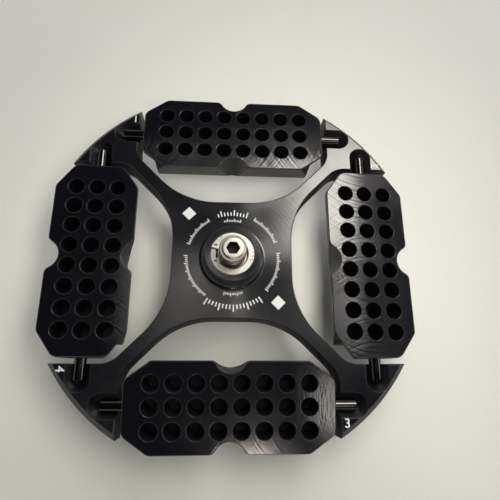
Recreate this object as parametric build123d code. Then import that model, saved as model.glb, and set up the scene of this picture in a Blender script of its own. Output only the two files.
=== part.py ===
from build123d import *
import math
import os

# Swing-bucket rotor for tube strips: a four-armed cross, four drilled buckets on pins and a captive nut.
# Rotor frame: +Z up along the drive axis, origin on the foot face in the middle of the shaft bore.
# Bucket frame: X radially outward, Y along the pins, Z up, origin on the pin axis.
# All sizes are in millimetres and degrees.

# Rotor cross
ROTOR_RADIUS = 85.8
PLATE_THICKNESS = 12.5
ARM_WIDTH = 5.66
HUB_FLAT_DISTANCE = 26.3
HUB_BLEND_RADIUS = 35.0
OPENING_CORNER_RADIUS = 10.0
RIM_CHAMFER = 2.2
EDGE_BREAK = 0.4
EDGE_BREAK_ANGLE = 45.0

# Hub: a foot below the plate, a boss above it
FOOT_RADIUS = 18.0
FOOT_FLARE = 3.0
FOOT_CHAMFER = 1.0
BOSS_RADIUS = 12.0
BOSS_HEIGHT = 8.2
BOSS_BLEND = 2.5
SHAFT_BORE_RADIUS = 6.0
SHAFT_LEAD_IN = 0.5
NUT_BORE_RADIUS = 9.2
NUT_BORE_CHAMFER = 0.45

# Where the buckets hang
PIN_CIRCLE_RADIUS = 60.6
PIN_HEIGHT = 33.8
PIN_BELOW_PLATE_TOP = 2.5
BUCKET_END_GAP = 2.3
SLOT_WIDTH = 10.0
SLOT_END_ROOM = 4.4
PIN_SEAT_CLEARANCE = 0.05

# Bucket pins
PIN_RADIUS = 2.5
PIN_PROJECTION = 9.1
PIN_GRIP = 6.0
PIN_END_CHAMFER = 0.5

# Bucket block
BUCKET_LENGTH = 84.4
BUCKET_WIDTH = 36.0
BUCKET_BASE_WIDTH = 26.8
BUCKET_HEIGHT = 16.5
BUCKET_TOP = 3.6
CORNER_CUT_ACROSS = 7.5
CORNER_CUT_ALONG = 10.5
CORNER_ROUND = 4.5
EAR_LENGTH = 6.0
EAR_DEPTH_BELOW_PIN = 8.0
EAR_CORNER_TAPER = 18.5
EAR_LAND = 0.8

# Finger notch in the middle of each long side
NOTCH_FLOOR_DISTANCE = 13.1
NOTCH_RADIUS = 6.5
NOTCH_MOUTH_RADIUS = 3.2

# Tube wells
WELL_ROWS = 3
WELL_COLUMNS = 8
WELL_PITCH = 9.0
WELL_RADIUS = 3.65
WELL_DEPTH = 14.0

# Captive nut with its washer and retaining ring
NUT_COLLAR_THICKNESS = 3.0
NUT_COLLAR_CLEARANCE = 0.08
NUT_HEAD_RADIUS = 5.75
NUT_HEAD_ABOVE_BOSS = 7.5
NUT_HEAD_ROUND = 2.0
HEX_ACROSS_FLATS = 5.0
HEX_DEPTH = 3.6
THREAD_RADIUS = 3.4
THREAD_DEPTH = 8.4
THREAD_CHAMFER = 0.6
NUT_AXIAL_CLEARANCE = 0.05
WASHER_THICKNESS = 1.0
WASHER_CLEARANCE = 0.05
WASHER_HEAD_ROOM = 0.5
RING_THICKNESS = 1.0
RING_BELOW_BOSS_TOP = 0.8
RING_GROOVE_DEPTH = 0.5
RING_GROOVE_PLAY = 0.1
RING_WIDTH = 2.9
RING_LUG_REACH = 3.4
RING_LUG_ANGLE = 18.0
RING_GAP_HALF_ANGLE = 17.0
RING_HOLE_RADIUS = 0.7

# Rest tilt of each bucket, top leaning outward, and the direction in which it hangs
BUCKET_TILTS = {1: 2.44, 2: 3.58, 3: 8.43, 4: -2.69}
BUCKET_AZIMUTHS = {1: 90.0, 2: 0.0, 3: -90.0, 4: 180.0}

# Heights and distances that follow from the sizes above
plate_top = PIN_HEIGHT + PIN_BELOW_PLATE_TOP
plate_bottom = plate_top - PLATE_THICKNESS
boss_top = plate_top + BOSS_HEIGHT
tip_edge = BUCKET_LENGTH / 2 + BUCKET_END_GAP
arm_offset = ARM_WIDTH / math.sqrt(2)
ring_top = boss_top - RING_BELOW_BOSS_TOP
ring_bottom = ring_top - RING_THICKNESS
groove_radius = NUT_BORE_RADIUS + RING_GROOVE_DEPTH
washer_bottom = ring_bottom - WASHER_THICKNESS
collar_top = washer_bottom - NUT_AXIAL_CLEARANCE
nut_seat = collar_top - NUT_COLLAR_THICKNESS
bucket_bottom = BUCKET_TOP - BUCKET_HEIGHT


def nearest_vertex(shape, x, y, z=0.0):
    return shape.vertices().sort_by_distance((x, y, z))[0]


def revolved(profile):
    # The profile lies in the XZ plane, with X as the radius
    return revolve(Plane.XZ * profile, Axis.Z, 360)


def opening_outline():
    # Opening for the bucket on +X: hub flat, large blends, 45 degree arm sides, tip edges
    outside = ROTOR_RADIUS + tip_edge
    corner = tip_edge + arm_offset
    flat_end = HUB_FLAT_DISTANCE - arm_offset
    outline = FilletPolyline(
        (outside, -tip_edge),
        (corner, -tip_edge),
        (HUB_FLAT_DISTANCE, -flat_end),
        (HUB_FLAT_DISTANCE, flat_end),
        (corner, tip_edge),
        (outside, tip_edge),
        radius=[OPENING_CORNER_RADIUS, HUB_BLEND_RADIUS, HUB_BLEND_RADIUS, OPENING_CORNER_RADIUS],
    )
    return make_face(outline + Line(outline @ 1, outline @ 0))


def hub_and_disc():
    profile = make_face(
        Polyline(
            (SHAFT_BORE_RADIUS + SHAFT_LEAD_IN, 0),
            (FOOT_RADIUS - FOOT_CHAMFER, 0),
            (FOOT_RADIUS, FOOT_CHAMFER),
            (FOOT_RADIUS, plate_bottom - FOOT_FLARE),
            (FOOT_RADIUS + FOOT_FLARE, plate_bottom),
            (ROTOR_RADIUS, plate_bottom),
            (ROTOR_RADIUS, plate_top - RIM_CHAMFER),
            (ROTOR_RADIUS - RIM_CHAMFER, plate_top),
            (BOSS_RADIUS, plate_top),
            (BOSS_RADIUS, boss_top - EDGE_BREAK),
            (BOSS_RADIUS - EDGE_BREAK, boss_top),
            (NUT_BORE_RADIUS + NUT_BORE_CHAMFER, boss_top),
            (NUT_BORE_RADIUS, boss_top - NUT_BORE_CHAMFER),
            (NUT_BORE_RADIUS, ring_top + RING_GROOVE_PLAY),
            (groove_radius, ring_top + RING_GROOVE_PLAY),
            (groove_radius, ring_bottom),
            (NUT_BORE_RADIUS, ring_bottom),
            (NUT_BORE_RADIUS, nut_seat),
            (SHAFT_BORE_RADIUS, nut_seat),
            (SHAFT_BORE_RADIUS, SHAFT_LEAD_IN),
            close=True,
        )
    )
    profile = fillet(nearest_vertex(profile, BOSS_RADIUS, plate_top), BOSS_BLEND)
    return revolved(profile)


def pin_slots():
    # Two round-bottomed slots, open at the top and toward the bucket, in which its pins rest and turn
    slot_radius = SLOT_WIDTH / 2
    axis_height = PIN_HEIGHT - PIN_RADIUS - PIN_SEAT_CLEARANCE + slot_radius
    end_centre = BUCKET_LENGTH / 2 + PIN_PROJECTION + SLOT_END_ROOM - slot_radius
    length = end_centre - tip_edge + slot_radius
    middle = end_centre - length / 2
    rise = plate_top - axis_height + EDGE_BREAK
    rise_middle = axis_height + rise / 2
    trough = Pos(PIN_CIRCLE_RADIUS, middle, axis_height) * Cylinder(slot_radius, length, rotation=(90, 0, 0))
    mouth = Pos(PIN_CIRCLE_RADIUS, middle, rise_middle) * Box(SLOT_WIDTH, length, rise)
    end_ball = Pos(PIN_CIRCLE_RADIUS, end_centre, axis_height) * Sphere(slot_radius)
    end_rise = Pos(PIN_CIRCLE_RADIUS, end_centre, rise_middle) * Cylinder(slot_radius, rise)
    slot = trough + mouth + end_ball + end_rise
    return slot + mirror(slot, Plane.XZ)


def opening_edges(body, height):
    # Edges of the four openings in one face of the plate, without those turned about the drive axis
    flats = body.faces().filter_by(Axis.Z)
    level = [flat for flat in flats if abs(flat.center().Z - height) < EDGE_BREAK / 2]
    edges = max(level, key=lambda flat: flat.area).edges()
    arcs = edges.filter_by(GeomType.CIRCLE)
    turned = [arc for arc in arcs if math.hypot(arc.arc_center.X, arc.arc_center.Y) < EDGE_BREAK]
    return [edge for edge in edges if edge not in turned]


def rotor_cross():
    body = hub_and_disc()
    opening = extrude(opening_outline(), boss_top)
    for azimuth in BUCKET_AZIMUTHS.values():
        body -= Rot(0, 0, azimuth) * opening
    for height in (plate_top, plate_bottom):
        body = chamfer(opening_edges(body, height), EDGE_BREAK)
    for azimuth in BUCKET_AZIMUTHS.values():
        body -= Rot(0, 0, azimuth) * pin_slots()
    return body


def bucket_plan():
    half_width = BUCKET_WIDTH / 2
    half_length = BUCKET_LENGTH / 2
    cut_x = half_width - CORNER_CUT_ACROSS
    cut_y = half_length - CORNER_CUT_ALONG
    corners = [
        (half_width, -cut_y),
        (half_width, cut_y),
        (cut_x, half_length),
        (-cut_x, half_length),
        (-half_width, cut_y),
        (-half_width, -cut_y),
        (-cut_x, -half_length),
        (cut_x, -half_length),
    ]
    plan = make_face(Polyline(*corners, close=True))
    return fillet(plan.vertices(), CORNER_ROUND)


def tapered_block():
    # The long sides lean in toward the bottom, and all four long edges are broken
    section = make_face(
        Polyline(
            (-BUCKET_WIDTH / 2, BUCKET_TOP),
            (BUCKET_WIDTH / 2, BUCKET_TOP),
            (BUCKET_BASE_WIDTH / 2, bucket_bottom),
            (-BUCKET_BASE_WIDTH / 2, bucket_bottom),
            close=True,
        )
    )
    section = chamfer(section.vertices(), EDGE_BREAK)
    return extrude(Plane.XZ * section, BUCKET_LENGTH / 2, both=True)


def upright(outline, top_taper):
    # Outline raised over the bucket's height, with its top edge broken inward or outward
    straight = Pos(0, 0, bucket_bottom) * extrude(outline, BUCKET_HEIGHT - EDGE_BREAK)
    broken = extrude(Pos(0, 0, BUCKET_TOP - EDGE_BREAK) * outline, EDGE_BREAK, taper=top_taper)
    return straight + broken


def ear_corner_cut():
    # Wedge that leans the corner wall of the ear at +X +Y inward, from a narrow land under the top edge
    cut_angle = math.degrees(math.atan2(CORNER_CUT_ALONG, -CORNER_CUT_ACROSS))
    middle_x = BUCKET_WIDTH / 2 - CORNER_CUT_ACROSS / 2
    middle_y = BUCKET_LENGTH / 2 - CORNER_CUT_ALONG / 2
    land_height = BUCKET_TOP - EAR_LAND
    lean = BUCKET_HEIGHT * math.tan(math.radians(EAR_CORNER_TAPER))
    wedge = make_face(Polyline((0, 0), (0, -BUCKET_HEIGHT), (lean, -BUCKET_HEIGHT), close=True))
    wedge = extrude(Plane.XZ * wedge, BUCKET_WIDTH / 2, both=True)
    # The wedge's flat side lies on the vertical corner wall and its slope runs inward below the land
    return Pos(middle_x, middle_y, land_height) * Rot(0, 0, cut_angle + 90) * wedge


def ear_cuts():
    # Below and beside each ear, beyond the last wells
    ear_start = BUCKET_LENGTH / 2 - EAR_LENGTH
    beyond = Box(BUCKET_WIDTH, EAR_LENGTH, BUCKET_HEIGHT, align=(Align.CENTER, Align.MIN, Align.MAX))
    under = Pos(0, ear_start, -EAR_DEPTH_BELOW_PIN) * beyond
    wedge = ear_corner_cut() & (Pos(0, ear_start, BUCKET_TOP) * beyond)
    one_end = under + wedge + mirror(wedge, Plane.YZ)
    return one_end + mirror(one_end, Plane.XZ)


def finger_notch():
    # Round notch with a blended mouth in the long side at +X, cut straight down
    centre = NOTCH_FLOOR_DISTANCE + NOTCH_RADIUS
    side = BUCKET_WIDTH / 2
    # Each blend circle touches the side and the notch circle
    blend_x = side - NOTCH_MOUTH_RADIUS
    blend_y = math.sqrt((NOTCH_RADIUS + NOTCH_MOUTH_RADIUS) ** 2 - (centre - blend_x) ** 2)
    share = NOTCH_RADIUS / (NOTCH_RADIUS + NOTCH_MOUTH_RADIUS)
    touch_x = centre + (blend_x - centre) * share
    touch_y = blend_y * share
    floor = ThreePointArc((touch_x, -touch_y), (NOTCH_FLOOR_DISTANCE, 0), (touch_x, touch_y))
    upper = RadiusArc((touch_x, touch_y), (side, blend_y), -NOTCH_MOUTH_RADIUS)
    lower = RadiusArc((side, -blend_y), (touch_x, -touch_y), -NOTCH_MOUTH_RADIUS)
    outside = side + NOTCH_MOUTH_RADIUS
    closing = Polyline((side, blend_y), (outside, blend_y), (outside, -blend_y), (side, -blend_y))
    return upright(make_face(floor + upper + closing + lower), -EDGE_BREAK_ANGLE)


def wells():
    # Flat-bottomed wells at the pitch of 0.2 ml strip tubes
    one_well = Cylinder(WELL_RADIUS, WELL_DEPTH, align=(Align.CENTER, Align.CENTER, Align.MAX))
    places = GridLocations(WELL_PITCH, WELL_PITCH, WELL_ROWS, WELL_COLUMNS)
    return [Pos(0, 0, BUCKET_TOP) * place * one_well for place in places]


def pin_blank():
    # Pin at the bucket's +Y end
    start = BUCKET_LENGTH / 2 - PIN_GRIP
    length = PIN_GRIP + PIN_PROJECTION
    return Pos(0, start + length / 2, 0) * Cylinder(PIN_RADIUS, length, rotation=(90, 0, 0))


def bucket_block():
    block = tapered_block() & upright(bucket_plan(), EDGE_BREAK_ANGLE)
    block -= ear_cuts()
    notch = finger_notch()
    block -= notch + mirror(notch, Plane.YZ)
    pin_hole = pin_blank()
    return block - wells() - pin_hole - mirror(pin_hole, Plane.XZ)


def bucket_pin():
    pin = pin_blank()
    end_edge = pin.edges().filter_by(GeomType.CIRCLE).sort_by(Axis.Y)[-1]
    return chamfer(end_edge, PIN_END_CHAMFER)


def rotor_nut():
    head_top = boss_top + NUT_HEAD_ABOVE_BOSS
    collar_radius = NUT_BORE_RADIUS - NUT_COLLAR_CLEARANCE
    profile = make_face(
        Polyline(
            (THREAD_RADIUS + THREAD_CHAMFER, nut_seat),
            (collar_radius - EDGE_BREAK, nut_seat),
            (collar_radius, nut_seat + EDGE_BREAK),
            (collar_radius, collar_top),
            (NUT_HEAD_RADIUS, collar_top),
            (NUT_HEAD_RADIUS, head_top),
            (0, head_top),
            (0, nut_seat + THREAD_DEPTH),
            (THREAD_RADIUS, nut_seat + THREAD_DEPTH),
            (THREAD_RADIUS, nut_seat + THREAD_CHAMFER),
            close=True,
        )
    )
    profile = fillet(nearest_vertex(profile, NUT_HEAD_RADIUS, head_top), NUT_HEAD_ROUND)
    socket = extrude(RegularPolygon(HEX_ACROSS_FLATS / 2, 6, major_radius=False), HEX_DEPTH)
    return revolved(profile) - Pos(0, 0, head_top - HEX_DEPTH) * socket


def nut_washer():
    outer = Cylinder(NUT_BORE_RADIUS - WASHER_CLEARANCE, WASHER_THICKNESS)
    hole = Cylinder(NUT_HEAD_RADIUS + WASHER_HEAD_ROOM, WASHER_THICKNESS)
    return Pos(0, 0, washer_bottom + WASHER_THICKNESS / 2) * (outer - hole)


def sector(radius, start_angle, end_angle):
    # Pie slice used to cut the ring's gap and to form its lugs
    middle = (start_angle + end_angle) / 2
    points = [Vector(radius, 0).rotate(Axis.Z, angle) for angle in (start_angle, middle, end_angle)]
    arc = ThreePointArc(*points)
    return make_face(Line((0, 0), points[0]) + arc + Line(points[2], (0, 0)))


def retaining_ring():
    # Open ring with two drilled lugs beside its gap, which faces -X
    inner_radius = groove_radius - RING_WIDTH
    ring = Circle(groove_radius) - Circle(inner_radius)
    lug_inner = groove_radius - RING_LUG_REACH
    gap_start = 180 - RING_GAP_HALF_ANGLE
    lug_start = gap_start - RING_LUG_ANGLE
    lug = sector(groove_radius, lug_start, gap_start) - Circle(lug_inner)
    lug_middle = (groove_radius + lug_inner) / 2
    hole_centre = Vector(lug_middle, 0).rotate(Axis.Z, (lug_start + gap_start) / 2)
    hole = Pos(hole_centre) * Circle(RING_HOLE_RADIUS)
    ring = ring + lug + mirror(lug, Plane.XZ)
    ring -= sector(groove_radius * 2, gap_start, 180 + RING_GAP_HALF_ANGLE)
    ring -= hole + mirror(hole, Plane.XZ)
    return Pos(0, 0, ring_bottom) * extrude(ring, RING_THICKNESS)


def bucket_place(number):
    hang = Pos(PIN_CIRCLE_RADIUS, 0, PIN_HEIGHT) * Rot(0, BUCKET_TILTS[number], 0)
    return Rot(0, 0, BUCKET_AZIMUTHS[number]) * hang


def all_parts():
    parts = {
        "rotor_cross": rotor_cross(),
        "rotor_nut": rotor_nut(),
        "nut_washer": nut_washer(),
        "retaining_ring": retaining_ring(),
    }
    block = bucket_block()
    right_pin = bucket_pin()
    left_pin = mirror(right_pin, Plane.XZ)
    for number in BUCKET_AZIMUTHS:
        place = bucket_place(number)
        parts[f"bucket_{number}"] = place * block
        parts[f"bucket_{number}_pin_left"] = place * left_pin
        parts[f"bucket_{number}_pin_right"] = place * right_pin
    return parts


os.makedirs("parts", exist_ok=True)
for name, shape in all_parts().items():
    export_step(shape, f"parts/{name}.step")
    print(name, round(shape.volume, 1))
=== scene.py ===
import math

import bmesh
import bpy
from mathutils import Matrix, Vector


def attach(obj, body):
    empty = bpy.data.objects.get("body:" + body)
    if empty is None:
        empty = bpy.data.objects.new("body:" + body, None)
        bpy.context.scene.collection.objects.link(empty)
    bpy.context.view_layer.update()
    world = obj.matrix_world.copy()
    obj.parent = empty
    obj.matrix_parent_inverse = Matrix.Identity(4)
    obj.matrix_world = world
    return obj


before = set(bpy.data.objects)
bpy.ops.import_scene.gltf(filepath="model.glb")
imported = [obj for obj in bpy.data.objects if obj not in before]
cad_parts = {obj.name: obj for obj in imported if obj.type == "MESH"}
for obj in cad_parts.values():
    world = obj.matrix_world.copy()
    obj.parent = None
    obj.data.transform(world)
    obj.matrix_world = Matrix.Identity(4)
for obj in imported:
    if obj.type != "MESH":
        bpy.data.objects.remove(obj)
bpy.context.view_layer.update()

MM = 0.001

# Where things are on the rotor, in millimetres and degrees, as in the part's source
PLATE_TOP = 36.3
NUT_TOP = 52.0
PIN_CIRCLE_RADIUS = 60.6
PIN_HEIGHT = 33.8
BUCKET_TOP = 3.6
BUCKET_TILTS = {1: 2.44, 2: 3.58, 3: 8.43, 4: -2.69}
BUCKET_AZIMUTHS = {1: 90.0, 2: 0.0, 3: -90.0, 4: 180.0}
WELL_ROWS = 3
WELL_COLUMNS = 8
WELL_PITCH = 9.0
WELL_RADIUS = 3.65

# Countersink at the mouth of each well, in millimetres, and the flats that make up its circle
RIM_WIDTH = 0.22
RIM_DEPTH = 0.18
RIM_SIDES = 48

# Laser marks: how far they stand above and reach into the anodised skin, in millimetres
MARK_HEIGHT = 0.02
MARK_ROOT = 0.02
# Arcs of graduation ticks round the hub: middle radius, length, width, first angle, last angle and
# spacing
TICK_ARCS = [
    (20.2, 1.7, 0.42, 122, 162, 2.5),
    (20.2, 1.7, 0.42, 178, 235, 2.5),
    (20.5, 1.7, 0.42, -43, 7, 2.5),
    (20.6, 1.7, 0.42, 22, 61, 2.5),
    (21.0, 2.7, 0.55, 72, 108, 4.0),
    (17.5, 1.5, 0.36, 78, 102, 2.4),
    (22.0, 3.0, 0.6, -120, -56, 4.0),
    (16.2, 1.5, 0.36, -102, -74, 2.6),
]
# Every fourth tick is a long one, and the others have this share of its length
LONG_TICK_EVERY = 4
SHORT_TICK = 0.62
# Plain frosted squares on two arms: middle, side and turn
SQUARES = [(-19.4, 20.3), (19.9, -19.4)]
SQUARE_SIDE = 4.4
SQUARE_TURN = 45.0
# Position numbers on the tips: number, middle and turn, then their size and how far their strokes
# are fattened on each side
NUMBERS = [
    ("3", 46.7, -67.5, 0.0),
    ("1", -46.5, 67.9, 180.0),
    ("2", 67.6, 46.8, 90.0),
    ("4", -67.6, -46.7, -90.0),
]
NUMBER_SIZE = 5.0
NUMBER_BOLDNESS = 0.05

# Marks that cutters leave, in millimetres. A lathe feed of 0.2 mm can't show at this size, so the
# rings of the cross are drawn 0.7 mm apart.
RING_PITCH = 0.7
RING_DEPTH = 0.018
# A 50 mm face mill is fed 0.3 mm a turn, and its arcs are drawn coarser to show. Each bucket has
# its own spacing and depth, as the cutter was sharper on some than on others.
CUTTER_RADIUS = 25.0
MILLING = {1: (1.3, 0.044), 2: (1.35, 0.044), 3: (0.9, 0.015), 4: (1.2, 0.02)}

# Hard anodising: how wide its broken edges, patches of dye and smudges are, in millimetres
EDGE_BREAK = 0.22
DYE_PATCH = 20.0
SMUDGE = 14.0
# The oxide's refractive index, which makes it shinier than paint or plastic
OXIDE_IOR = 1.65
# Roughness that the sides of the anodised pieces have on top of that of their faced tops
SIDE_DULLNESS = 0.38
# The wells are as dull below the first of these heights over the bench, and bright above the second
DULL_BELOW = 26.0
BRIGHT_ABOVE = 31.0

# Steel: how wide the marks of handling, the film of grease and the patches of black oxide are, in
# millimetres
HANDLING_MARK = 6.0
GREASE_FILM = 7.0
OXIDE_PATCH = 4.0
# Painted shade, with some old grease, is black inside these radii, in the nut's hex socket and on
# the washer recessed under the ring. Its edge is this soft, and it starts and is fully black this
# deep under the top of the nut.
SOCKET_SHADE = 3.0
WASHER_SHADE = 7.1
SHADE_EDGE = 0.05
SHADE_TOP = 0.2
SHADE_FULL = 1.2

# A laser's scan lines are 0.05 mm apart and can't show, so their unevenness is drawn 0.4 mm wide
LASER_SCAN = 0.4
# How wide the faint clouds in the bench laminate are, in millimetres
LAMINATE_CLOUD = 60.0

# Bench, in metres: half its side, and how far from the rotor it fades into the pale wall
BENCH_HALF = 6.0
FADE_START = 0.17
FADE_END = 0.42

# Room: tones of the walls, the ceiling and the lamps, then in metres the heights of the ceiling, of
# a glow and of two small lamps just under it, and the place and size of the window
PALE_WALL = "#e6e5e0"
GREY_WALL = "#8a8a8a"
DARK_CEILING = "#26262b"
LAMP_WHITE = "#fffaf2"
SOFTBOX_WHITE = "#fefdf9"
DAYLIGHT = "#fbfbff"
CEILING = 1.2
GLOW = 1.19
SMALL_LAMPS = 1.15
WINDOW_PLACE = (0.3, 2.6, 1.25)
WINDOW_SIZE = (3.4, 1.0)

# Camera at the photograph's place, in metres and degrees, with its film and lens in millimetres
CAMERA_PLACE = (-0.00401, -0.04854, 0.21301)
CAMERA_TURN = (16.46, -3.82, -0.02)
FILM_WIDTH = 36.0
FOCAL_LENGTH = 30.21


def colour(code):
    """An sRGB hex colour as Blender's linear one."""
    parts = [int(code[i:i + 2], 16) / 255 for i in (1, 3, 5)]
    return [c / 12.92 if c <= 0.04045 else ((c + 0.055) / 1.055) ** 2.4 for c in parts] + [1.0]


def add(tree, kind, feeds=(), **options):
    """Adds a node with its options, and gives its sockets their values or links."""
    made = tree.nodes.new(kind)
    for name, value in options.items():
        setattr(made, name, value)
    for socket, value in dict(feeds).items():
        if isinstance(value, bpy.types.NodeSocket):
            tree.links.new(value, made.inputs[socket])
        else:
            made.inputs[socket].default_value = value
    return made


def seen_directly(tree):
    """1 for what is seen, also in a mirror or through glass, and 0 for light on the object."""
    path = add(tree, "ShaderNodeLightPath")
    mirrored = add(tree, "ShaderNodeMath", {0: path.outputs["Is Glossy Ray"],
                                            1: path.outputs["Is Transmission Ray"]},
                   operation="MAXIMUM")
    seen = add(tree, "ShaderNodeMath", {0: path.outputs["Is Camera Ray"], 1: mirrored.outputs[0]},
               operation="MAXIMUM")
    return seen.outputs[0]


def start_material(name):
    """A new material with its node tree and its main shader."""
    material = bpy.data.materials.new(name)
    material.use_nodes = True
    tree = material.node_tree
    return material, tree, tree.nodes["Principled BSDF"]


def turned_rings(tree, place, pitch):
    """Height of the rings that a lathe tool leaves round the drive axis."""
    flat = add(tree, "ShaderNodeVectorMath", {0: place, 1: (1, 1, 0)}, operation="MULTIPLY")
    radius = add(tree, "ShaderNodeVectorMath", {0: flat.outputs[0]}, operation="LENGTH")
    turns = add(tree, "ShaderNodeMath", {0: radius.outputs["Value"], 1: 1 / (pitch * MM)},
                operation="MULTIPLY")
    rings = add(tree, "ShaderNodeTexNoise", {"W": turns.outputs[0], "Scale": 1.0, "Detail": 1.0},
                noise_dimensions="1D")
    return rings.outputs["Fac"]


def milled_arcs(tree, place, azimuth, pitch):
    """Height of the arcs that a face mill leaves along a bucket, crossed by its trailing edge's."""
    turn = Matrix.Rotation(math.radians(azimuth), 3, "Z")
    outward, along = turn @ Vector((1, 0, 0)), turn @ Vector((0, 1, 0))
    feed = add(tree, "ShaderNodeVectorMath", {0: place, 1: along}, operation="DOT_PRODUCT")
    reach = add(tree, "ShaderNodeVectorMath", {0: place, 1: outward}, operation="DOT_PRODUCT")
    across = add(tree, "ShaderNodeMath", {0: reach.outputs["Value"], 1: PIN_CIRCLE_RADIUS * MM},
                 operation="SUBTRACT")
    square = add(tree, "ShaderNodeMath", {0: across.outputs[0], 1: 2.0}, operation="POWER")
    rest = add(tree, "ShaderNodeMath", {0: (CUTTER_RADIUS * MM) ** 2, 1: square.outputs[0]},
               operation="SUBTRACT")
    bow = add(tree, "ShaderNodeMath", {0: rest.outputs[0]}, operation="SQRT")
    heights = []
    for operation in ("SUBTRACT", "ADD"):
        phase = add(tree, "ShaderNodeMath", {0: feed.outputs["Value"], 1: bow.outputs[0]},
                    operation=operation)
        steps = add(tree, "ShaderNodeMath", {0: phase.outputs[0], 1: 1 / (pitch * MM)},
                    operation="MULTIPLY")
        arcs = add(tree, "ShaderNodeTexNoise", {"W": steps.outputs[0], "Scale": 1.0, "Detail": 1.0},
                   noise_dimensions="1D")
        heights.append(arcs.outputs["Fac"])
    both = add(tree, "ShaderNodeMath", {0: heights[0], 1: heights[1]}, operation="ADD")
    return both.outputs[0]


def anodised_black(name, marks, mark_depth, smoothest, roughest, turned=False):
    """Hard black anodising on machined aluminium: a glassy oxide skin over near-black dye."""
    material, tree, skin = start_material(name)
    coordinates = add(tree, "ShaderNodeTexCoord")
    place = coordinates.outputs["Object"]
    # Dye takes unevenly, which gives the eye a slightly warmer and a bluer black
    dye = add(tree, "ShaderNodeTexNoise", {"Vector": place, "Scale": 1 / (DYE_PATCH * MM),
                                           "Detail": 2.0})
    black = add(tree, "ShaderNodeMix", {0: dye.outputs["Fac"], 6: colour("#08080d"),
                                        7: colour("#0f0e13")}, data_type="RGBA")
    # Real edges are broken and the dye is thinner there, which draws a fine paler line. The rounded
    # normal leaves the flat one by 6 degrees at a cosine of 0.995 and by 26 at 0.9.
    round_edge = add(tree, "ShaderNodeBevel", {"Radius": EDGE_BREAK * MM}, samples=6)
    flat = add(tree, "ShaderNodeNewGeometry").outputs["Normal"]
    alike = add(tree, "ShaderNodeVectorMath", {0: round_edge.outputs[0], 1: flat},
                operation="DOT_PRODUCT")
    edge = add(tree, "ShaderNodeMapRange", {0: alike.outputs["Value"], 1: 0.995, 2: 0.9,
                                            3: 0.0, 4: 0.5})
    worn = add(tree, "ShaderNodeMix", {0: edge.outputs[0], 6: black.outputs[2],
                                       7: colour("#3c3a3e")}, data_type="RGBA")
    # Smudges from gloves dull the surface in patches
    smudge = add(tree, "ShaderNodeTexNoise", {"Vector": place, "Scale": 1 / (SMUDGE * MM),
                                              "Detail": 3.0})
    faced = add(tree, "ShaderNodeMapRange", {0: smudge.outputs["Fac"], 1: 0.35, 2: 0.7,
                                             3: smoothest, 4: roughest})
    # The sides are cut with the flank of an end mill, which leaves them duller than the faced top.
    # Faces that lean 26 to 53 degrees, with cosines of 0.9 to 0.6, are in between.
    facing = add(tree, "ShaderNodeSeparateXYZ", {0: coordinates.outputs["Normal"]}).outputs["Z"]
    side = add(tree, "ShaderNodeMapRange", {0: facing, 1: 0.6, 2: 0.9, 3: SIDE_DULLNESS, 4: 0.0})
    # So are the bottoms of the wells, where a drill has turned
    height = add(tree, "ShaderNodeSeparateXYZ", {0: place}).outputs["Z"]
    deep = add(tree, "ShaderNodeMapRange", {0: height, 1: DULL_BELOW * MM, 2: BRIGHT_ABOVE * MM,
                                            3: SIDE_DULLNESS, 4: 0.0})
    dull = add(tree, "ShaderNodeMath", {0: side.outputs[0], 1: deep.outputs[0]},
               operation="MAXIMUM")
    rough = add(tree, "ShaderNodeMath", {0: faced.outputs[0], 1: dull.outputs[0]}, operation="ADD")
    relief = add(tree, "ShaderNodeBump", {"Height": marks(tree, place), "Distance": mark_depth * MM,
                                          "Strength": 1.0, "Normal": round_edge.outputs[0]})
    tree.links.new(worn.outputs[2], skin.inputs["Base Color"])
    tree.links.new(rough.outputs[0], skin.inputs["Roughness"])
    tree.links.new(relief.outputs[0], skin.inputs["Normal"])
    if turned:
        # Grooves round the drive axis spread each highlight across them, at a quarter turn, into a
        # bright streak that points at the hub
        groove = add(tree, "ShaderNodeTangent", direction_type="RADIAL", axis="Z")
        tree.links.new(groove.outputs[0], skin.inputs["Tangent"])
        skin.inputs["Anisotropic"].default_value = 0.7
        skin.inputs["Anisotropic Rotation"].default_value = 0.25
    skin.inputs["IOR"].default_value = OXIDE_IOR
    return material


def milled_bucket(number):
    """The finish of one bucket, with the arcs of the face mill that cut it."""
    azimuth = BUCKET_AZIMUTHS[number]
    pitch, depth = MILLING[number]
    return anodised_black(f"hard_anodised_aluminium_milled_{number}",
                          lambda tree, place: milled_arcs(tree, place, azimuth, pitch),
                          depth, smoothest=0.1, roughest=0.15)


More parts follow.
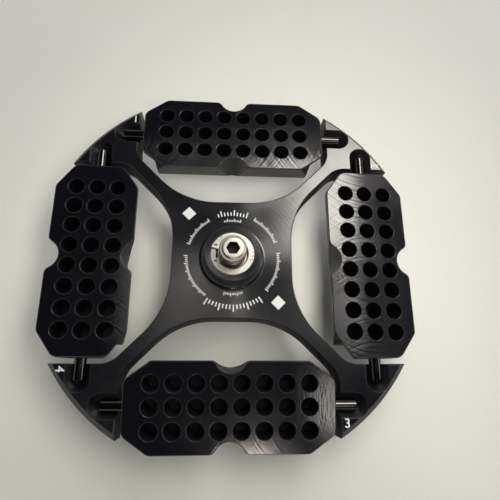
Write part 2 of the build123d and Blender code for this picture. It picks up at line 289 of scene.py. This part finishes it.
def bright_steel(name, tone, roughness, ring_pitch, ring_depth, shade_and_grease_radius=None):
    """Bright steel of the nut and its two rings: warm grey metal with rings too fine to count, and
    painted shade with old grease that is black inside a given radius.
    """
    material, tree, metal = start_material(name)
    place = add(tree, "ShaderNodeTexCoord").outputs["Object"]
    handling = add(tree, "ShaderNodeTexNoise", {"Vector": place, "Scale": 1 / (HANDLING_MARK * MM),
                                                "Detail": 1.0})
    gloss = add(tree, "ShaderNodeMapRange", {0: handling.outputs["Fac"], 1: 0.3, 2: 0.7,
                                             3: roughness * 0.85, 4: roughness * 1.15})
    # Thin film of old grease, a little browner than the steel
    film = add(tree, "ShaderNodeTexNoise", {"Vector": place, "Scale": 1 / (GREASE_FILM * MM),
                                            "Detail": 0.0})
    tint = add(tree, "ShaderNodeMix", {0: film.outputs["Fac"], 6: colour(tone),
                                       7: colour("#c6c2b8")}, data_type="RGBA")
    relief = add(tree, "ShaderNodeBump", {"Height": turned_rings(tree, place, ring_pitch),
                                          "Distance": ring_depth * MM, "Strength": 1.0})
    if shade_and_grease_radius:
        # Painted shade, with old grease, is black inside this radius, in the socket and the
        # washer's recess, but not on the rim of the nut
        flat = add(tree, "ShaderNodeVectorMath", {0: place, 1: (1, 1, 0)}, operation="MULTIPLY")
        radius = add(tree, "ShaderNodeVectorMath", {0: flat.outputs[0]}, operation="LENGTH")
        inside = add(tree, "ShaderNodeMapRange", {0: radius.outputs["Value"],
                                                  1: (shade_and_grease_radius - SHADE_EDGE) * MM,
                                                  2: shade_and_grease_radius * MM, 3: 1.0, 4: 0.0})
        height = add(tree, "ShaderNodeSeparateXYZ", {0: place}).outputs["Z"]
        below = add(tree, "ShaderNodeMapRange", {0: height, 1: (NUT_TOP - SHADE_FULL) * MM,
                                                 2: (NUT_TOP - SHADE_TOP) * MM, 3: 1.0, 4: 0.0})
        painted_shade_and_grease = add(tree, "ShaderNodeMath", {0: inside.outputs[0], 1: below.outputs[0]},
                     operation="MULTIPLY")
        tint = add(tree, "ShaderNodeMix", {0: painted_shade_and_grease.outputs[0], 6: tint.outputs[2],
                                           7: colour("#2a2724")}, data_type="RGBA")
    tree.links.new(tint.outputs[2], metal.inputs["Base Color"])
    tree.links.new(gloss.outputs[0], metal.inputs["Roughness"])
    tree.links.new(relief.outputs[0], metal.inputs["Normal"])
    metal.inputs["Metallic"].default_value = 1.0
    return material


def blackened_steel():
    """Ground and black-oxided steel: dark metal that mirrors lamps as sharp white lines."""
    material, tree, metal = start_material("black_oxide_steel_ground")
    place = add(tree, "ShaderNodeTexCoord").outputs["Object"]
    patch = add(tree, "ShaderNodeTexNoise", {"Vector": place, "Scale": 1 / (OXIDE_PATCH * MM),
                                             "Detail": 3.0})
    tint = add(tree, "ShaderNodeMix", {0: patch.outputs["Fac"], 6: colour("#3a393b"),
                                       7: colour("#53514f")}, data_type="RGBA")
    gloss = add(tree, "ShaderNodeMapRange", {0: patch.outputs["Fac"], 1: 0.3, 2: 0.7,
                                             3: 0.1, 4: 0.17})
    tree.links.new(tint.outputs[2], metal.inputs["Base Color"])
    tree.links.new(gloss.outputs[0], metal.inputs["Roughness"])
    metal.inputs["Metallic"].default_value = 1.0
    return material


def laser_white():
    """Laser-bleached anodising: matt, chalky and slightly grey where the dye was burnt out."""
    material, tree, chalk = start_material("laser_bleached_anodising")
    place = add(tree, "ShaderNodeTexCoord").outputs["Object"]
    scan = add(tree, "ShaderNodeTexNoise", {"Vector": place, "Scale": 1 / (LASER_SCAN * MM),
                                            "Detail": 1.0})
    tone = add(tree, "ShaderNodeMix", {0: scan.outputs["Fac"], 6: colour("#bdbdba"),
                                       7: colour("#e3e2de")}, data_type="RGBA")
    tree.links.new(tone.outputs[2], chalk.inputs["Base Color"])
    chalk.inputs["Roughness"].default_value = 0.75
    return material


def bench_laminate():
    """Pale laminate of a laboratory bench: even, faintly warm, with a soft sheen."""
    material, tree, top = start_material("bench_laminate")
    place = add(tree, "ShaderNodeTexCoord").outputs["Object"]
    cloud = add(tree, "ShaderNodeTexNoise", {"Vector": place, "Scale": 1 / (LAMINATE_CLOUD * MM),
                                             "Detail": 3.0})
    tone = add(tree, "ShaderNodeMix", {0: cloud.outputs["Fac"], 6: colour("#e3e1d8"),
                                       7: colour("#e8e6de")}, data_type="RGBA")
    tree.links.new(tone.outputs[2], top.inputs["Base Color"])
    top.inputs["Roughness"].default_value = 0.6
    top.inputs["Specular IOR Level"].default_value = 0.25
    # Far from the object the bench fades into the pale wall, for views from the side
    distance = add(tree, "ShaderNodeVectorMath", {0: place}, operation="LENGTH")
    far = add(tree, "ShaderNodeMapRange", {0: distance.outputs["Value"], 1: FADE_START, 2: FADE_END,
                                           3: 0.0, 4: 1.0})
    share = add(tree, "ShaderNodeMath", {0: far.outputs[0], 1: seen_directly(tree)},
                operation="MULTIPLY")
    pale = add(tree, "ShaderNodeEmission", {"Color": colour(PALE_WALL), "Strength": 1.0})
    blend = add(tree, "ShaderNodeMixShader", {0: share.outputs[0], 1: top.outputs[0],
                                              2: pale.outputs[0]})
    tree.links.new(blend.outputs[0], tree.nodes["Material Output"].inputs["Surface"])
    return material


def new_piece(name, mesh, material, body):
    """Puts a mesh that is already in its place in the scene, and lets it ride on a body."""
    piece = bpy.data.objects.new(name, mesh)
    bpy.context.scene.collection.objects.link(piece)
    mesh.materials.clear()
    mesh.materials.append(material)
    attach(piece, body)
    return piece


def bucket_place(number):
    """From a bucket's own frame, X outward and Z up from its pin axis, to the rotor's."""
    turn = Matrix.Rotation(math.radians(BUCKET_AZIMUTHS[number]), 4, "Z")
    hang = Matrix.Translation((PIN_CIRCLE_RADIUS * MM, 0, PIN_HEIGHT * MM))
    return turn @ hang @ Matrix.Rotation(math.radians(BUCKET_TILTS[number]), 4, "Y")


def well_rims(number):
    """The countersunk mouths of a bucket's wells, as thin cones just inside each mouth."""
    outer, inner = WELL_RADIUS * MM, (WELL_RADIUS - RIM_WIDTH) * MM
    top, low = BUCKET_TOP * MM, (BUCKET_TOP - RIM_DEPTH) * MM
    made = bmesh.new()
    for row in range(WELL_ROWS):
        for column in range(WELL_COLUMNS):
            middle = Vector(((row - (WELL_ROWS - 1) / 2) * WELL_PITCH * MM,
                             (column - (WELL_COLUMNS - 1) / 2) * WELL_PITCH * MM, 0))
            loops = []
            for radius, height in ((outer, top), (inner, low), (outer, low - RIM_WIDTH * MM)):
                loop = []
                for step in range(RIM_SIDES):
                    angle = 2 * math.pi * step / RIM_SIDES
                    loop.append(made.verts.new(middle + Vector((radius * math.cos(angle),
                                                                radius * math.sin(angle), height))))
                loops.append(loop)
            for upper, lower in zip(loops, loops[1:]):
                for step in range(RIM_SIDES):
                    after = (step + 1) % RIM_SIDES
                    made.faces.new((upper[step], upper[after], lower[after], lower[step]))
    bmesh.ops.recalc_face_normals(made, faces=made.faces)
    bmesh.ops.reverse_faces(made, faces=made.faces)
    made.transform(bucket_place(number))
    mesh = bpy.data.meshes.new(f"bucket_{number}_well_rims")
    made.to_mesh(mesh)
    made.free()
    return mesh


def mark_place(x, y, turn):
    """From the middle of a laser mark to its place on the plate, in millimetres and degrees."""
    height = PLATE_TOP + (MARK_HEIGHT - MARK_ROOT) / 2
    place = Matrix.Translation((x * MM, y * MM, height * MM))
    return place @ Matrix.Rotation(math.radians(turn), 4, "Z")


def add_mark(made, x, y, turn, length, width):
    """A thin plate of bleached skin, length across and width along, turned about the middle."""
    size = Matrix.Diagonal((length * MM, width * MM, (MARK_HEIGHT + MARK_ROOT) * MM, 1))
    bmesh.ops.create_cube(made, size=1, matrix=mark_place(x, y, turn) @ size)


def hub_ticks():
    """Graduation ticks in arcs round the hub, and a plain square on two arms."""
    made = bmesh.new()
    for radius, length, width, first, last, spacing in TICK_ARCS:
        count = round((last - first) / spacing)
        for step in range(count + 1):
            angle = first + (last - first) * step / count
            share = 1.0 if step % LONG_TICK_EVERY == 0 else SHORT_TICK
            middle = radius - (1 - share) * length / 2
            x, y = middle * math.cos(math.radians(angle)), middle * math.sin(math.radians(angle))
            add_mark(made, x, y, angle, length * share, width)
    for x, y in SQUARES:
        add_mark(made, x, y, SQUARE_TURN, SQUARE_SIDE, SQUARE_SIDE)
    mesh = bpy.data.meshes.new("hub_ticks")
    made.to_mesh(mesh)
    made.free()
    return mesh


def position_number(digit, x, y, turn):
    """A plain digit of bleached skin, with its middle at that place on the plate."""
    text = bpy.data.curves.new("digit", "FONT")
    text.body = digit
    text.size = NUMBER_SIZE * MM
    text.offset = NUMBER_BOLDNESS * MM
    text.extrude = (MARK_HEIGHT + MARK_ROOT) / 2 * MM
    text.align_x = "CENTER"
    text.align_y = "CENTER"
    drawn = bpy.data.objects.new("digit", text)
    mesh = bpy.data.meshes.new_from_object(drawn)
    bpy.data.objects.remove(drawn)
    mesh.transform(mark_place(x, y, turn))
    mesh.name = f"position_number_{digit}"
    return mesh


def lamp(name, centre, size, radiance, tone=LAMP_WHITE, aim=None, mirrored=True, shadows=True):
    """A softbox of that size in metres and that radiance, which looks down or at its aim."""
    light = bpy.data.lights.new(name, "AREA")
    light.shape = "RECTANGLE"
    light.size, light.size_y = size
    light.energy = radiance * math.pi * size[0] * size[1]
    light.color = colour(tone)[:3]
    box = bpy.data.objects.new(name, light)
    bpy.context.scene.collection.objects.link(box)
    back = (Vector(centre) - Vector(aim or (centre[0], centre[1], 0))).normalized()
    facing = back.to_track_quat("Z", "Y").to_matrix().to_4x4()
    box.matrix_world = Matrix.Translation(centre) @ facing
    box.visible_camera = False
    box.visible_glossy = mirrored
    box.visible_diffuse = shadows


# Finish of every CAD node
cross_finish = anodised_black("hard_anodised_aluminium_turned",
                              lambda tree, place: turned_rings(tree, place, RING_PITCH),
                              RING_DEPTH, smoothest=0.15, roughest=0.2, turned=True)
bucket_finish = {number: milled_bucket(number) for number in BUCKET_AZIMUTHS}
pin_finish = blackened_steel()
# The nut's hex socket and the washer's recess under the ring get painted black shade, with old
# grease
nut_finish = bright_steel("stainless_steel_turned", "#cfc9bd", roughness=0.35,
                          ring_pitch=0.5, ring_depth=0.004, shade_and_grease_radius=SOCKET_SHADE)
ring_finish = bright_steel("spring_steel_stamped", "#d8d5cc", roughness=0.32,
                           ring_pitch=0.8, ring_depth=0.003)
washer_finish = bright_steel("steel_washer_rolled", "#8d8880", roughness=0.35,
                             ring_pitch=0.6, ring_depth=0.004, shade_and_grease_radius=WASHER_SHADE)

finishes = {
    "rotor_cross": cross_finish,
    "rotor_nut": nut_finish,
    "nut_washer": washer_finish,
    "retaining_ring": ring_finish,
}
for number in BUCKET_AZIMUTHS:
    finishes[f"bucket_{number}"] = bucket_finish[number]
    finishes[f"bucket_{number}_pin_left"] = pin_finish
    finishes[f"bucket_{number}_pin_right"] = pin_finish
for name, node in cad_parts.items():
    node.data.materials.clear()
    node.data.materials.append(finishes[name])
    node.data.polygons.foreach_set("use_smooth", [True] * len(node.data.polygons))

# Fine pieces on the CAD
for number in BUCKET_AZIMUTHS:
    mesh = well_rims(number)
    mesh.polygons.foreach_set("use_smooth", [True] * len(mesh.polygons))
    new_piece(f"bucket_{number}_well_rims", mesh, bucket_finish[number], f"bucket_{number}")
mark_finish = laser_white()
new_piece("hub_ticks", hub_ticks(), mark_finish, "rotor")
for digit, x, y, turn in NUMBERS:
    new_piece(f"position_number_{digit}", position_number(digit, x, y, turn), mark_finish, "rotor")

# Bench
bench_mesh = bpy.data.meshes.new("bench")
corners = [(x * BENCH_HALF, y * BENCH_HALF, 0) for x, y in ((-1, -1), (1, -1), (1, 1), (-1, 1))]
bench_mesh.from_pydata(corners, [], [(0, 1, 2, 3)])
bench_mesh.materials.append(bench_laminate())
bench = bpy.data.objects.new("bench", bench_mesh)
bpy.context.scene.collection.objects.link(bench)

# Softboxes and a window that light the object and draw its shadows on the bench. Metal doesn't
# mirror them.
lamp("near_lamp", (0.045, 0.005, 0.23), (0.06, 0.18), 11.0, SOFTBOX_WHITE, mirrored=False)
lamp("front_softbox", (0.0, -0.46, CEILING), (0.3, 0.4), 6.4, SOFTBOX_WHITE, mirrored=False)
lamp("back_softbox", (0.12, 0.36, CEILING), (0.24, 0.5), 4.5, SOFTBOX_WHITE, mirrored=False)
lamp("back_window", WINDOW_PLACE, WINDOW_SIZE, 5.4, DAYLIGHT, aim=(0, 0, 0), mirrored=False)

# Blinds that metal mirrors in views from the side, dim enough not to whiten the tops there
lamp("back_blind", WINDOW_PLACE, WINDOW_SIZE, 1.8, DAYLIGHT, aim=(0, 0, 0), shadows=False)
lamp("right_blind", (2.8, 0.4, 1.1), (0.9, 1.0), 2.6, DAYLIGHT, aim=(0, 0, 0), shadows=False)

# Ceiling panels and their haze, which the flat tops mirror. They don't light the bench. Lamps that
# overlap in one plane hide each other in a mirror, so some hang lower.
lamp("panel", (0.357, 0.575, CEILING), (0.485, 0.455), 13.4, shadows=False)
lamp("panel_edge", (0.555, 0.61, CEILING), (0.13, 0.34), 13.0, shadows=False)
lamp("ceiling_glow", (0.2, 0.2, CEILING), (0.8, 0.3), 1.0, shadows=False)
lamp("right_glow", (0.575, 0.13, GLOW), (0.04, 0.22), 5.0, shadows=False)
lamp("right_haze", (0.73, 0.2, CEILING), (0.16, 0.5), 0.2, shadows=False)
lamp("back_haze", (-0.14, 0.82, CEILING), (0.24, 0.08), 0.9, shadows=False)
lamp("front_strip", (0.1, -0.67, CEILING), (0.1, 0.14), 28.0, "#fff3ea", shadows=False)
lamp("front_strip_right", (0.37, -0.5, CEILING), (0.11, 0.17), 6.0, "#fff8ee", shadows=False)
# Two small lamps, whose images the turned rings of the hub draw out into streaks
lamp("ceiling_lamp_front", (0.048, 0.152, SMALL_LAMPS), (0.035, 0.07), 8.0, shadows=False)
lamp("ceiling_lamp_left", (-0.106, 0.239, SMALL_LAMPS), (0.05, 0.05), 5.0, shadows=False)

# Room, which lights the object from grey walls that darken toward the ceiling
world = bpy.data.worlds.new("room")
bpy.context.scene.world = world
world.use_nodes = True
air = world.node_tree
sky = add(air, "ShaderNodeTexCoord").outputs["Generated"]
up = add(air, "ShaderNodeSeparateXYZ", {0: sky}).outputs["Z"]
height = add(air, "ShaderNodeMapRange", {0: up, 1: 0.05, 2: 0.4}, interpolation_type="SMOOTHSTEP")
room = add(air, "ShaderNodeMix", {0: height.outputs[0], 6: colour(GREY_WALL),
                                  7: colour(DARK_CEILING)}, data_type="RGBA")
# The camera and the metal's reflections see a pale wall, which darkens only higher up
high = add(air, "ShaderNodeMapRange", {0: up, 1: 0.35, 2: 0.65}, interpolation_type="SMOOTHSTEP")
backdrop = add(air, "ShaderNodeMix", {0: high.outputs[0], 6: colour(PALE_WALL),
                                      7: colour(DARK_CEILING)}, data_type="RGBA")
wall = add(air, "ShaderNodeMix", {0: seen_directly(air), 6: room.outputs[2],
                                  7: backdrop.outputs[2]}, data_type="RGBA")
air.links.new(wall.outputs[2], air.nodes["Background"].inputs["Color"])

# Camera
camera = bpy.data.objects.new("camera", bpy.data.cameras.new("camera"))
bpy.context.scene.collection.objects.link(camera)
camera.location = CAMERA_PLACE
camera.rotation_euler = [math.radians(angle) for angle in CAMERA_TURN]
camera.data.sensor_width = FILM_WIDTH
camera.data.lens = FOCAL_LENGTH
camera.data.clip_start = 0.01
bpy.context.scene.camera = camera
bpy.context.scene.view_settings.view_transform = "Standard"

bpy.context.view_layer.update()
